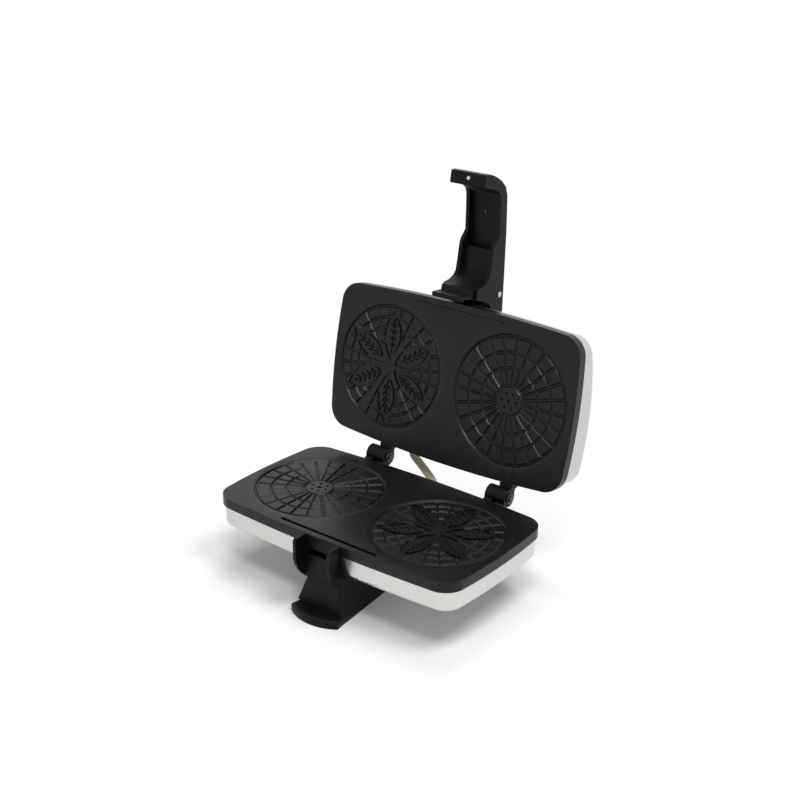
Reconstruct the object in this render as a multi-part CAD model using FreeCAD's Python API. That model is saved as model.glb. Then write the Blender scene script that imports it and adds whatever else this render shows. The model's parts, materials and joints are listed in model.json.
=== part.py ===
"""Double thin-wafer iron: two hinged griddle plates, a latch lever on the lid and a raised base.

Base pieces are drawn with z = 0 on the lower plate's face. Lid and lever pieces are drawn with the
lid shut and z = 0 on the upper plate's face, then swung open. The origin of the finished part is on
the table under the middle of the plates: x to the right, y to the rear, z up, millimetres.
"""
import FreeCAD, Part
import math
import os

V = FreeCAD.Vector

# Plate outline: straight chords between the corners, with bowed sides
PLATE_WIDTH = 264.2
PLATE_DEPTH = 142.2
SIDE_BOW = 4.25
FRONT_BOW = 4.9
REAR_BOW = 6.3
CORNER_RADIUS = 20.0
RIM_HEIGHT = 9.6
PLATE_THICKNESS = 5.0
RIM_WALL = 4.0

# Wafer patterns
CIRCLE_OFFSET = 68.5
CIRCLE_RADIUS = 61.0
LIP_SLOPE = 2.5
RECESS_DEPTH = 0.8
GROOVE_WIDTH = 3.4
GROOVE_FLOOR = 1.2
GROOVE_DEPTH = 1.5
GRID_RINGS = (14.0, 30.3, 44.6, 59.2)
FLOWER_RINGS = (24.0, 38.0, 47.6, 58.4)
SPOKE_COUNT = 24
HUB_DOT_RADIUS = 1.5
HUB_DOT_CIRCLE = 7.5
HUB_DOT_COUNT = 6
PETAL_COUNT = 6
PETAL_START = 6.0
PETAL_TIP = 55.0
PETAL_HALF_WIDTH = 10.5
VEIN_COUNT = 4
VEIN_WIDTH = 2.2
LOCATING_LENGTH = 108.0
LOCATING_Y = -68.5
LOCATING_SLOT_WIDTH = 3.2
LOCATING_SLOT_DEPTH = 3.0
LOCATING_RIB_WIDTH = 1.8
LOCATING_RIB_HEIGHT = 1.4

# Silver shells
SHELL_INSET = 2.1
SHELL_HEIGHT = 20.0
SHELL_WALL = 1.2
SHELL_EDGE_RADIUS = 4.0
CROWN_FRONT = 24.0
CROWN_MIDDLE = 36.0
CROWN_REAR = 37.0
FIT_GAP = 0.1

# Stance and hinge
TABLE_DROP = 74.5
PLATE_GAP = 1.0
LID_OPEN_ANGLE = 99.4
HINGE_Y = 88.7
HINGE_RISE = 1.5
HINGE_X = 70.0
KNUCKLE_RADIUS = 8.5
BASE_KNUCKLE = 8.0
LID_KNUCKLE = 13.0
KNUCKLE_GAP = 0.5
LUG_FOOT = 5.6
LUG_NECK = 8.5
LUG_TOP = 2.0
PIN_RADIUS = 3.0
PIN_CLEARANCE = 0.05
PIN_HEAD_RADIUS = 5.0
PIN_HEAD_HEIGHT = 1.6
CLIP_RADIUS = 5.0
CLIP_THICKNESS = 1.0
CLIP_GAP = 0.4

# Heating elements and what holds the plates in the shells
HEATER_RADIUS = 3.2
HEATER_HALF_WIDTH = 112.0
HEATER_FRONT_Y = -54.0
HEATER_REAR_Y = 52.0
HEATER_END_X = 16.0
HEATER_BEND = 16.0
WIRE_RADIUS = 1.2
WIRE_STANDOFF = 0.5
WIRE_SPREAD = 1.6
WIRE_HOLE_X = 9.0
WIRE_HOLE_Y = 28.5
WIRE_HOLE_RADIUS = 3.0
CLAMP_WIDTH = 10.0
CLAMP_SHEET = 1.0
CLAMP_FOOT = 7.0
SHIELD_INSET = 9.0
SHIELD_SHEET = 0.6
BOSS_RADIUS = 4.5
BOSS_HEIGHT = 11.0
BOSS_X = 118.0
BOSS_Y = 53.0
SCREW_RADIUS = 1.8
SCREW_CLEARANCE = 0.3
SCREW_HEAD_RADIUS = 3.6
SCREW_HEAD_HEIGHT = 2.2
SCREW_GRIP = 7.0
SCREW_SEAT_GAP = 0.3
LUG_SCREW_REACH = 5.0

# Controls and wiring inside the base
THERMOSTAT_RADIUS = 9.0
THERMOSTAT_HEIGHT = 7.0
FUSE_RADIUS = 2.2
FUSE_LENGTH = 14.0
FUSE_X = 28.0
TERMINAL_LENGTH = 36.0
TERMINAL_WIDTH = 12.0
TERMINAL_HEIGHT = 5.6
TERMINAL_Y = 44.0
GLAND_X = 34.0
BUSH_RADIUS = 6.2
BUSH_FLANGE_RADIUS = 7.6
BUSH_FLANGE = 1.6
BUSH_REACH = 3.0
BUSH_SEAT_GAP = 0.35
LEAD_RADIUS = 4.0
LEAD_CLEARANCE = 0.1
LEAD_BASE_X = -4.0
LEAD_LID_X = -42.0
LEAD_Z = 18.0

# Latch keeper on the front of the base
KEEPER_HALF_WIDTH = 20.6
KEEPER_CHEEK = 3.0
KEEPER_FRONT_Y = -90.0
KEEPER_PANEL_Y = -77.0
KEEPER_PANEL = 3.0
KEEPER_FLANGE_TOP = 21.5
KEEPER_FLANGE_FOOT = 29.0
KEEPER_FLANGE = 2.4
KEEPER_TOP_DROP = 0.4
KEEPER_DROP = 41.0
SLOT_TOP = -12.2
SLOT_BOTTOM = -18.0
SLOT_HALF_WIDTH = 16.9
SLOT_REACH = 6.0
KEEPER_SCREW_X = 7.0
KEEPER_SCREW_DROP = 6.0

# Front leg with its toe
LEG_FACE_Y = -79.0
LEG_FACE_HALF_WIDTH = 25.7
LEG_TOP_Y = -73.6
LEG_TOP_HALF_WIDTH = 12.5
LEG_REAR_Y = 18.0
LEG_REAR_HALF_WIDTH = 16.0
LEG_REAR_TOP_HALF_WIDTH = 14.0
LEG_WALL = 3.0
LEG_BOSS_RADIUS = 3.6
LEG_BOSS_HEIGHT = 9.0
LEG_BOSS_INSET = 2.4
TOE_HEIGHT = 7.5
TOE_FRONT_Y = -95.5
TOE_SHOULDER_Y = -86.5
TOE_HALF_WIDTH = 27.0

# Rear legs
REAR_LEG_X = 72.0
REAR_LEG_HALF_WIDTH = 13.0
REAR_LEG_TOP_Y = (44.0, 70.0)
REAR_LEG_FOOT_Y = (66.0, 92.0)
REAR_LEG_WALL = 2.5
PAD_RADIUS = 9.0
PAD_HEIGHT = 4.5

# Latch lever on the lid
LEVER_HALF_WIDTH = 19.3
LEVER_CHEEK = 3.6
LEVER_PIN_Y = -85.5
LEVER_PIN_Z = 38.6
LEVER_FOOT_HALF_WIDTH = 16.4
LEVER_COVER = 3.0
LATCH_PIN_RADIUS = 2.0
LATCH_PIN_HEAD_RADIUS = 2.7
LATCH_PIN_HEAD = 1.0
BRACKET_HALF_WIDTH = 12.0
BRACKET_EYE_RADIUS = 6.5
BRACKET_PLATE = 2.4
BRACKET_SEAT_Z = 29.6
BRACKET_REAR_Y = -50.0
BRACKET_SCREW_X = 7.0
BRACKET_SCREW_INSET = 6.0
BRACKET_SCREW_BITE = 7.0
COVER_SCREW_RADIUS = 1.5
COVER_SCREW_HEAD = 2.4
COVER_SCREW_HEAD_HEIGHT = 1.0
COVER_SCREW_LIFT = 0.5
COVER_SCREW_SPOTS = (-112.0, -160.0)

SHELL_BOTTOM = -(RIM_HEIGHT + SHELL_HEIGHT)
SHELL_FLOOR = SHELL_BOTTOM + SHELL_WALL
PLATE_UNDERSIDE = -PLATE_THICKNESS
BOSS_END = PLATE_UNDERSIDE - BOSS_HEIGHT
SHIELD_BOTTOM = BOSS_END - SHIELD_SHEET
BOSS_SPOTS = [(sx * BOSS_X, sy * BOSS_Y) for sx in (-1, 1) for sy in (-1, 1)]
HINGES = {"left": -HINGE_X, "right": HINGE_X}
REAR_LEGS = {"left": -REAR_LEG_X, "right": REAR_LEG_X}


def box(x0, x1, y0, y1, z0, z1):
    return Part.makeBox(x1 - x0, y1 - y0, z1 - z0, V(x0, y0, z0))


def rod(radius, start, end):
    """Round bar between two points."""
    along = V(*end) - V(*start)
    return Part.makeCylinder(radius, along.Length, V(*start), along)


def tube(outer, inner, start, end):
    return rod(outer, start, end).cut(rod(inner, start, end))


def prism_x(profile, x0, x1):
    """Extrude a closed (y, z) outline along x."""
    points = [V(x0, y, z) for y, z in profile]
    return Part.Face(Part.makePolygon(points + points[:1])).extrude(V(x1 - x0, 0, 0))


def join(solids):
    whole = solids[0]
    for solid in solids[1:]:
        whole = whole.fuse(solid)
    return whole.removeSplitter()


def turned(shape, angle, spot=(0, 0)):
    """Copy of a shape drawn about the z axis, turned by degrees and moved to a spot."""
    copy = shape.copy()
    copy.rotate(V(0, 0, 0), V(0, 0, 1), angle)
    copy.translate(V(spot[0], spot[1], 0))
    return copy


def flipped(shape):
    """Mirror in the plate's face: turns a lower half into an upper half."""
    return shape.mirror(V(0, 0, 0), V(0, 0, 1))


def slab(inset, z0, z1):
    """The plate outline, drawn in by an inset, between two heights."""
    half_w = PLATE_WIDTH / 2 - inset
    half_d = PLATE_DEPTH / 2 - inset
    corners = [V(-half_w, -half_d, z0), V(half_w, -half_d, z0), V(half_w, half_d, z0), V(-half_w, half_d, z0)]
    mids = [V(0, -half_d - FRONT_BOW, z0), V(half_w + SIDE_BOW, 0, z0),
            V(0, half_d + REAR_BOW, z0), V(-half_w - SIDE_BOW, 0, z0)]
    sides = [Part.Arc(corners[i], mids[i], corners[(i + 1) % 4]).toShape() for i in range(4)]
    solid = Part.Face(Part.Wire(sides)).extrude(V(0, 0, z1 - z0))
    upright = [edge for edge in solid.Edges if is_upright(edge)]
    return solid.makeFillet(CORNER_RADIUS - inset, upright)


def is_upright(edge):
    a, b = edge.Vertexes[0].Point, edge.Vertexes[-1].Point
    return math.hypot(a.x - b.x, a.y - b.y) < 1e-6 < abs(a.z - b.z)


def rear_wall_y(x):
    """Outer face of a shell's rear wall at a given x."""
    return PLATE_DEPTH / 2 - SHELL_INSET + REAR_BOW * (1 - (2 * x / PLATE_WIDTH) ** 2)


def cord_path(points):
    """Straight runs joined by tangent arcs as large as the shorter run allows."""
    points = [V(*p) for p in points]
    edges, radii, here = [], [], points[0]
    for before, corner, after in zip(points, points[1:], points[2:]):
        back = (before - corner).normalize()
        on = (after - corner).normalize()
        half_turn = (math.pi - back.getAngle(on)) / 2
        cut = 0.45 * min((before - corner).Length, (after - corner).Length)
        radius = cut / math.tan(half_turn)
        start, end = corner + back * cut, corner + on * cut
        middle = corner + (back + on).normalize() * (radius / math.cos(half_turn) - radius)
        edges += [Part.LineSegment(here, start).toShape(), Part.Arc(start, middle, end).toShape()]
        radii.append(round(radius, 1))
        here = end
    edges.append(Part.LineSegment(here, points[-1]).toShape())
    return Part.Wire(edges), radii


def cord(points, radius, name):
    """Round tube along a path; prints its bends and how its volume compares with its length."""
    path, radii = cord_path(points)
    start, on = V(*points[0]), V(*points[1])
    ring = Part.Wire(Part.makeCircle(radius, start, on - start))
    solid = path.makePipeShell([ring], True, False)
    share = solid.Volume / (math.pi * radius ** 2 * path.Length)
    print(name, "length", round(path.Length, 1), "bend radii", radii, "volume share", round(share, 4))
    return solid


def screw_up(x, y, z_head, length):
    """Pan-head screw driven upwards; its head seats against a face at z_head."""
    head, low = SCREW_HEAD_RADIUS, z_head - SCREW_HEAD_HEIGHT
    shank = rod(SCREW_RADIUS, (x, y, z_head), (x, y, z_head + length))
    dome = Part.makeCone(head * 0.75, head, SCREW_HEAD_HEIGHT, V(x, y, low))
    slot = box(x - head, x + head, y - head * 0.14, y + head * 0.14, low, low + SCREW_HEAD_HEIGHT * 0.45)
    return join([shank, dome]).cut(slot)


def groove_ring(radius):
    """Cutter for a round groove with sloping walls."""
    slope = (GROOVE_WIDTH - GROOVE_FLOOR) / 2 / GROOVE_DEPTH
    wide = GROOVE_WIDTH / 2 + slope * (1 + RECESS_DEPTH)
    floor, floor_z = GROOVE_FLOOR / 2, -RECESS_DEPTH - GROOVE_DEPTH
    outline = [V(radius - wide, 0, 1), V(radius + wide, 0, 1), V(radius + floor, 0, floor_z),
               V(radius - floor, 0, floor_z)]
    return Part.Face(Part.makePolygon(outline + outline[:1])).revolve(V(0, 0, 0), V(0, 0, 1), 360)


def groove_bar(start, end, width=GROOVE_WIDTH):
    """Cutter for a straight groove along x with sloping walls."""
    floor_z = -RECESS_DEPTH - GROOVE_DEPTH
    floor = GROOVE_FLOOR / 2 * width / GROOVE_WIDTH
    wide = width / 2 + (width / 2 - floor) / GROOVE_DEPTH * (1 + RECESS_DEPTH)
    return prism_x([(-wide, 1), (wide, 1), (floor, floor_z), (-floor, floor_z)], start, end)


def lens(half_width, start, tip, z0, z1):
    """Pointed leaf along x between two arcs."""
    middle = (start + tip) / 2
    a, b = V(start, 0, z0), V(tip, 0, z0)
    sides = [Part.Arc(a, V(middle, half_width, z0), b), Part.Arc(b, V(middle, -half_width, z0), a)]
    return Part.Face(Part.Wire([side.toShape() for side in sides])).extrude(V(0, 0, z1 - z0))


def grid_cutters():
    """Rings and spokes of the web pattern, with a rosette of dots in the hub."""
    spoke = groove_bar(GRID_RINGS[0], GRID_RINGS[-1])
    step = 360 / SPOKE_COUNT
    cutters = [groove_ring(radius) for radius in GRID_RINGS]
    cutters += [turned(spoke, step * i) for i in range(SPOKE_COUNT)]
    dot_floor = -RECESS_DEPTH - GROOVE_DEPTH
    dot = Part.makeCylinder(HUB_DOT_RADIUS, 1 - dot_floor, V(HUB_DOT_CIRCLE, 0, dot_floor))
    centre = Part.makeCylinder(HUB_DOT_RADIUS * 1.4, 1 - dot_floor, V(0, 0, dot_floor))
    return cutters + [turned(dot, 360 / HUB_DOT_COUNT * i) for i in range(HUB_DOT_COUNT)] + [centre]


def petal_cutters():
    """Outline, midrib and veins of one petal along x."""
    floor_z = -RECESS_DEPTH - GROOVE_DEPTH
    outer = lens(PETAL_HALF_WIDTH, PETAL_START, PETAL_TIP, floor_z, 1)
    inner = lens(PETAL_HALF_WIDTH - GROOVE_WIDTH * 0.7, PETAL_START + GROOVE_WIDTH * 2,
                 PETAL_TIP - GROOVE_WIDTH * 2, floor_z - 1, 2)
    length = PETAL_TIP - PETAL_START
    midrib = groove_bar(PETAL_START + length * 0.14, PETAL_TIP - length * 0.16, VEIN_WIDTH)
    cutters = [outer.cut(inner), midrib]
    for i in range(VEIN_COUNT):
        root = PETAL_START + length * (0.24 + 0.13 * i)
        reach = PETAL_HALF_WIDTH * 0.62
        for side in (-1, 1):
            vein = groove_bar(0, reach, VEIN_WIDTH)
            vein.rotate(V(0, 0, 0), V(0, 0, 1), side * 40)
            vein.translate(V(root, 0, 0))
            cutters.append(vein)
    return outer, cutters


def flower_cutters():
    """Six petals over a ground of rings and short spokes."""
    petal, marks = petal_cutters()
    step = 360 / PETAL_COUNT
    petals = [turned(petal, 30 + step * i) for i in range(PETAL_COUNT)]
    spoke = groove_bar(FLOWER_RINGS[0], FLOWER_RINGS[-1])
    ground = [groove_ring(radius) for radius in FLOWER_RINGS]
    ground += [turned(spoke, 360 / SPOKE_COUNT * (i + 0.5)) for i in range(SPOKE_COUNT)]
    cutters = [piece.cut(petals) for piece in ground]
    for i in range(PETAL_COUNT):
        cutters += [turned(mark, 30 + step * i) for mark in marks]
    return cutters


def griddle(patterns):
    """A cast plate, face up: rim, pocket below, bosses, and two round wafer patterns."""
    plate = slab(0, -RIM_HEIGHT, 0).cut(slab(RIM_WALL, -RIM_HEIGHT, PLATE_UNDERSIDE))
    for x, y in BOSS_SPOTS:
        plate = plate.fuse(rod(BOSS_RADIUS, (x, y, PLATE_UNDERSIDE + 1), (x, y, BOSS_END)))
    cutters = []
    for side, pattern in zip((-1, 1), patterns):
        spot = (side * CIRCLE_OFFSET, 0)
        height = RECESS_DEPTH + 1
        mouth = CIRCLE_RADIUS + LIP_SLOPE * height
        recess = Part.makeCone(CIRCLE_RADIUS, mouth, height, V(0, 0, -RECESS_DEPTH))
        cutters += [turned(cutter, 0, spot) for cutter in [recess] + pattern]
    cutters += [rod(SCREW_RADIUS, (x, y, BOSS_END), (x, y, BOSS_END + SCREW_GRIP)) for x, y in BOSS_SPOTS]
    return plate.cut(cutters)


def lower_plate(grid, flower):
    half = LOCATING_LENGTH / 2
    slot = box(-half, half, LOCATING_Y - LOCATING_SLOT_WIDTH / 2, LOCATING_Y + LOCATING_SLOT_WIDTH / 2,
               -LOCATING_SLOT_DEPTH, 1)
    return griddle([grid, flower]).cut(slot)


def upper_plate(grid, flower):
    half = LOCATING_LENGTH / 2 - LOCATING_RIB_WIDTH
    rib = box(-half, half, LOCATING_Y - LOCATING_RIB_WIDTH / 2, LOCATING_Y + LOCATING_RIB_WIDTH / 2,
              -1, LOCATING_RIB_HEIGHT)
    return flipped(griddle([flower, grid]).fuse(rib).removeSplitter())


def pan_volume(wall):
    """Volume of the base shell, drawn in by a wall, with its rounded bottom edge."""
    bottom = SHELL_BOTTOM + wall
    block = slab(SHELL_INSET + wall, bottom, -RIM_HEIGHT)
    rim = [edge for edge in block.Edges if all(abs(v.Point.z - bottom) < 1e-6 for v in edge.Vertexes)]
    return block.makeFillet(SHELL_EDGE_RADIUS - wall, rim)


def crown_volume(wall):
    """Volume of the lid shell, drawn in by a wall, upside down: its crown climbs towards the hinge."""
    reach = PLATE_DEPTH / 2 + REAR_BOW
    x = -PLATE_WIDTH
    front, rear = V(x, -reach, wall - CROWN_FRONT), V(x, reach, wall - CROWN_REAR)
    arch = Part.Arc(front, V(x, 0, wall - CROWN_MIDDLE), rear).toShape()
    sides = Part.makePolygon([rear, V(x, reach, 0), V(x, -reach, 0), front]).Edges
    under = Part.Face(Part.Wire([arch] + sides)).extrude(V(2 * PLATE_WIDTH, 0, 0))
    block = slab(SHELL_INSET + wall, -2 * CROWN_REAR, -RIM_HEIGHT).common(under)
    lowest = -RIM_HEIGHT - SHELL_EDGE_RADIUS
    rim = [edge for edge in block.Edges if all(v.Point.z < lowest for v in edge.Vertexes)]
    return block.makeFillet(SHELL_EDGE_RADIUS - wall, rim)


def bush_hole(x, z):
    wall = rear_wall_y(x)
    return rod(BUSH_RADIUS + FIT_GAP, (x, wall - 2 * BUSH_REACH, z), (x, wall + BUSH_REACH, z))


def lead_bush(x, z):
    """Flanged bush through a rear wall, with a short tapered nose outside."""
    wall = rear_wall_y(x)
    seat = wall + BUSH_SEAT_GAP
    body = rod(BUSH_RADIUS, (x, wall - SHELL_WALL - BUSH_REACH, z), (x, seat, z))
    flange = rod(BUSH_FLANGE_RADIUS, (x, seat, z), (x, seat + BUSH_FLANGE, z))
    nose = Part.makeCone(BUSH_RADIUS, BUSH_RADIUS - 1, BUSH_REACH, V(x, seat + BUSH_FLANGE, z), V(0, 1, 0))
    bore = rod(LEAD_RADIUS + LEAD_CLEARANCE, (x, wall - 4 * BUSH_REACH, z), (x, wall + 4 * BUSH_REACH, z))
    return join([body, flange, nose]).cut(bore)


def heater():
    """Tubular element, bent to run round under both wafers, with two cold ends at the rear."""
    z = PLATE_UNDERSIDE - HEATER_RADIUS
    w, f, r, bend = HEATER_HALF_WIDTH, HEATER_FRONT_Y, HEATER_REAR_Y, HEATER_BEND
    left = [(-HEATER_END_X, r - bend, z), (-HEATER_END_X - bend, r, z), (-w + bend, r, z), (-w, r - bend, z),
            (-w, f + bend, z), (-w + bend, f, z)]
    right = [(-x, y, z) for x, y, z in reversed(left)]
    path, _ = cord_path(left + right)
    start, on = V(*left[0]), V(*left[1])
    return path.makePipeShell([Part.Wire(Part.makeCircle(HEATER_RADIUS, start, on - start))], True, False)


def clamps():
    """Bent straps that hold the element against the plate."""
    inner = HEATER_RADIUS
    z = PLATE_UNDERSIDE
    low = z - 2 * HEATER_RADIUS
    out, foot = inner + CLAMP_SHEET, inner + CLAMP_SHEET + CLAMP_FOOT
    under, bottom = z - CLAMP_SHEET, low - CLAMP_SHEET
    strap = [(-foot, z), (-inner, z), (-inner, low), (inner, low), (inner, z), (foot, z), (foot, under),
             (out, under), (out, bottom), (-out, bottom), (-out, under), (-foot, under)]
    solids = []
    for side in (-1, 1):
        for row in (HEATER_FRONT_Y, HEATER_REAR_Y):
            piece = prism_x(strap, -CLAMP_WIDTH / 2, CLAMP_WIDTH / 2)
            piece.translate(V(side * CIRCLE_OFFSET, row, 0))
            solids.append(piece)
        piece = turned(prism_x(strap, -CLAMP_WIDTH / 2, CLAMP_WIDTH / 2), 90, (side * HEATER_HALF_WIDTH, 0))
        solids.append(piece)
    return Part.makeCompound(solids)


def heat_shield():
    """Thin reflector clamped under the plate's bosses."""
    sheet = slab(SHIELD_INSET, SHIELD_BOTTOM, BOSS_END)
    hole = SCREW_RADIUS + SCREW_CLEARANCE
    ears = [rod(BOSS_RADIUS + 1, (x, y, SHIELD_BOTTOM), (x, y, BOSS_END)) for x, y in BOSS_SPOTS]
    holes = [rod(hole, (x, y, SHIELD_BOTTOM - 1), (x, y, BOSS_END + 1)) for x, y in BOSS_SPOTS]
    holes += [rod(WIRE_HOLE_RADIUS, (x, WIRE_HOLE_Y, SHIELD_BOTTOM - 1), (x, WIRE_HOLE_Y, BOSS_END + 1))
              for x in (-WIRE_HOLE_X, WIRE_HOLE_X)]
    return join([sheet] + ears).cut(holes)


def spacers():
    hole = SCREW_RADIUS + SCREW_CLEARANCE
    return Part.makeCompound([tube(BOSS_RADIUS, hole, (x, y, SHELL_FLOOR), (x, y, SHIELD_BOTTOM))
                              for x, y in BOSS_SPOTS])


def plate_screws():
    length = BOSS_END + SCREW_GRIP - 0.5 - SHELL_BOTTOM
    return Part.makeCompound([screw_up(x, y, SHELL_BOTTOM, length) for x, y in BOSS_SPOTS])


def plate_posts(inside):
    """Posts welded inside the lid's crown, each with a threaded end in one of the plate's bosses."""
    solids = []
    for x, y in BOSS_SPOTS:
        post = rod(BOSS_RADIUS, (x, y, SHIELD_BOTTOM), (x, y, -2 * CROWN_REAR)).common(inside)
        stud = rod(SCREW_RADIUS, (x, y, SHIELD_BOTTOM - 1), (x, y, BOSS_END + SCREW_GRIP - 0.5))
        solids.append(join([post, stud]))
    return Part.makeCompound(solids)


def wires(ends):
    """Insulated wires from the two cold ends of the element, down through the heat shield."""
    z = PLATE_UNDERSIDE - HEATER_RADIUS
    solids = []
    for side, tail in zip((-1, 1), ends):
        end_x, end_y = HEATER_END_X - WIRE_STANDOFF, HEATER_REAR_Y - HEATER_BEND - WIRE_STANDOFF
        x, y = side * WIRE_HOLE_X, WIRE_HOLE_Y
        route = [(side * end_x, end_y, z), (side * (end_x - 4), end_y - 4, z - 0.4), (x, y, z - 4.5),
                 (x, y - 0.6, z - 9.5)]
        solids.append(cord(route + tail, WIRE_RADIUS, "wire"))
    return Part.makeCompound(solids)


def base_wires():
    """Wires that end in the terminal block."""
    z = SHELL_FLOOR + TERMINAL_HEIGHT / 2
    way = TERMINAL_LENGTH / 3
    front = TERMINAL_Y - TERMINAL_WIDTH / 2
    tails = [[(side * (way - 1), front - 6.0, z + 0.4), (side * way, front + 3.0, z)] for side in (-1, 1)]
    return wires(tails)


def lid_wires():
    """Wires that end in the lead's bush."""
    end_y = rear_wall_y(LEAD_LID_X) - SHELL_WALL - BUSH_REACH
    z = -LEAD_Z - 1.3
    near_x, far_x = LEAD_LID_X - WIRE_SPREAD, LEAD_LID_X + WIRE_SPREAD
    near = [(-11.0, 33.0, z - 1.4), (-30.0, 46.0, z - 1), (near_x, end_y - 10.0, z), (near_x, end_y + 2.0, z)]
    far = [(4.0, 33.0, z - 2), (-18.0, 45.0, z - 1.6), (far_x, end_y - 9.0, z), (far_x, end_y + 2.0, z)]
    return wires([near, far])


def thermostat():
    """Disc thermostat on the plate's underside, with two spade terminals."""
    low = PLATE_UNDERSIDE - THERMOSTAT_HEIGHT
    body = rod(THERMOSTAT_RADIUS, (0, 0, PLATE_UNDERSIDE), (0, 0, low))
    cap = rod(THERMOSTAT_RADIUS * 0.7, (0, 0, low), (0, 0, low - 1.5))
    spades = [box(x - 2.4, x + 2.4, THERMOSTAT_RADIUS * 0.5, THERMOSTAT_RADIUS + 7, low + 1, low + 1.8)
              for x in (-4.5, 4.5)]
    return join([body, cap] + spades)


def thermal_fuse():
    """Small cylinder with crimped ends, held against the plate by a saddle."""
    z = PLATE_UNDERSIDE - FUSE_RADIUS - 0.8
    half = FUSE_LENGTH / 2
    body = rod(FUSE_RADIUS, (FUSE_X - half, 0, z), (FUSE_X + half, 0, z))
    tails = rod(0.7, (FUSE_X - half - 6, 0, z), (FUSE_X + half + 6, 0, z))
    saddle = box(FUSE_X - 3, FUSE_X + 3, -FUSE_RADIUS - 4, FUSE_RADIUS + 4,
                 PLATE_UNDERSIDE - 0.9, PLATE_UNDERSIDE)
    return join([body, tails, saddle])


def terminal_block():
    """Ceramic connector strip on the floor of the shell, with three wire ways."""
    half = TERMINAL_LENGTH / 2
    body = box(-half, half, TERMINAL_Y - TERMINAL_WIDTH / 2, TERMINAL_Y + TERMINAL_WIDTH / 2,
               SHELL_FLOOR, SHELL_FLOOR + TERMINAL_HEIGHT)
    ways = []
    for i in (-1, 0, 1):
        x = i * TERMINAL_LENGTH / 3
        z = SHELL_FLOOR + TERMINAL_HEIGHT / 2
        ways.append(rod(1.6, (x, TERMINAL_Y - TERMINAL_WIDTH, z), (x, TERMINAL_Y + TERMINAL_WIDTH, z)))
        ways.append(rod(1.3, (x, TERMINAL_Y, z), (x, TERMINAL_Y, SHELL_FLOOR + 2 * TERMINAL_HEIGHT)))
    return body.cut(ways)


def lug(x0, x1, axis_z, bore_clearance, pan):
    """Hinge knuckle with an arm that seats on the rear wall of a shell."""
    wall = rear_wall_y(HINGE_X)
    rim, foot = wall + SHELL_INSET, wall + LUG_FOOT
    under_rim = -RIM_HEIGHT - FIT_GAP
    arm = [(wall - 6, SHELL_BOTTOM + 5), (foot, SHELL_BOTTOM + 4.5), (foot + 0.4, -LUG_NECK - 3.5),
           (foot + 2.2, -LUG_NECK), (HINGE_Y + KNUCKLE_RADIUS * 0.47, axis_z - KNUCKLE_RADIUS * 0.86),
           (HINGE_Y, axis_z), (HINGE_Y - KNUCKLE_RADIUS * 0.9, axis_z - 1), (rim, -LUG_TOP),
           (rim, under_rim), (wall - 6, under_rim)]
    knuckle = rod(KNUCKLE_RADIUS, (x0, HINGE_Y, axis_z), (x1, HINGE_Y, axis_z))
    bore = rod(PIN_RADIUS + bore_clearance, (x0 - 1, HINGE_Y, axis_z), (x1 + 1, HINGE_Y, axis_z))
    plate = slab(-FIT_GAP, under_rim, 1)
    return join([prism_x(arm, x0, x1), knuckle]).cut([bore, pan, plate])


def lug_screw(x):
    """Screw through a rear wall into a hinge arm, driven from inside the shell."""
    z = SHELL_BOTTOM + SHELL_HEIGHT * 0.45
    wall = rear_wall_y(x)
    seat = wall - SHELL_WALL - SCREW_SEAT_GAP
    shank = rod(SCREW_RADIUS, (x, seat - 1, z), (x, wall + LUG_SCREW_REACH, z))
    head = rod(SCREW_HEAD_RADIUS, (x, seat - SCREW_HEAD_HEIGHT, z), (x, seat, z))
    return join([shank, head])


def hinge_pin(x):
    """Headed pin through both knuckles of one hinge."""
    left = x - BASE_KNUCKLE - KNUCKLE_GAP / 2
    right = x + LID_KNUCKLE + KNUCKLE_GAP / 2
    z = HINGE_RISE
    shank = rod(PIN_RADIUS, (left - FIT_GAP, HINGE_Y, z), (right + 3 * CLIP_THICKNESS, HINGE_Y, z))
    head = rod(PIN_HEAD_RADIUS, (left - PIN_HEAD_HEIGHT, HINGE_Y, z), (left, HINGE_Y, z))
    return join([shank, head])


def hinge_clip(x):
    """Split ring on a pin's far end, just clear of the lid's knuckle."""
    y, z = HINGE_Y, HINGE_RISE
    right = x + LID_KNUCKLE + KNUCKLE_GAP / 2 + CLIP_GAP
    ring = tube(CLIP_RADIUS, PIN_RADIUS, (right, y, z), (right + CLIP_THICKNESS, y, z))
    return ring.cut(box(right - 1, right + 2, y, y + 2 * CLIP_RADIUS, z - 1, z + 1))


def keeper(pan, leg):
    """Black block on the front of the base: two cheeks, a ledge and the slot that the tooth enters."""
    w, inner = KEEPER_HALF_WIDTH, KEEPER_HALF_WIDTH - KEEPER_CHEEK
    front, panel = KEEPER_FRONT_Y, KEEPER_PANEL_Y
    back = panel + KEEPER_PANEL
    top, low = -KEEPER_TOP_DROP, -KEEPER_DROP
    cheek = [(back, top), (front + 2, top), (front, top - 2.6), (front, low + 21), (front + 1.5, low + 15),
             (front + 5, low + 8), (front + 10, low + 2), (panel, low), (back, low)]
    cheeks = [prism_x(cheek, -w, -inner), prism_x(cheek, inner, w)]
    wall = box(-inner, inner, panel, back, low, top)
    sill = prism_x([(panel, low), (panel - 2.5, low + 1), (panel, low + 9)], -inner, inner)
    rim = slab(-FIT_GAP, -RIM_HEIGHT - FIT_GAP, 1)
    return join(cheeks + [wall, sill, keeper_flange(back)]).cut([tooth_slot(), rim, pan, leg])


def tooth_slot():
    """Opening for the latch tooth, through the keeper's panel and the front wall of the base."""
    w, panel = SLOT_HALF_WIDTH, KEEPER_PANEL_Y
    return box(-w, w, panel - 1, panel + SLOT_REACH, SLOT_BOTTOM, SLOT_TOP)


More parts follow.
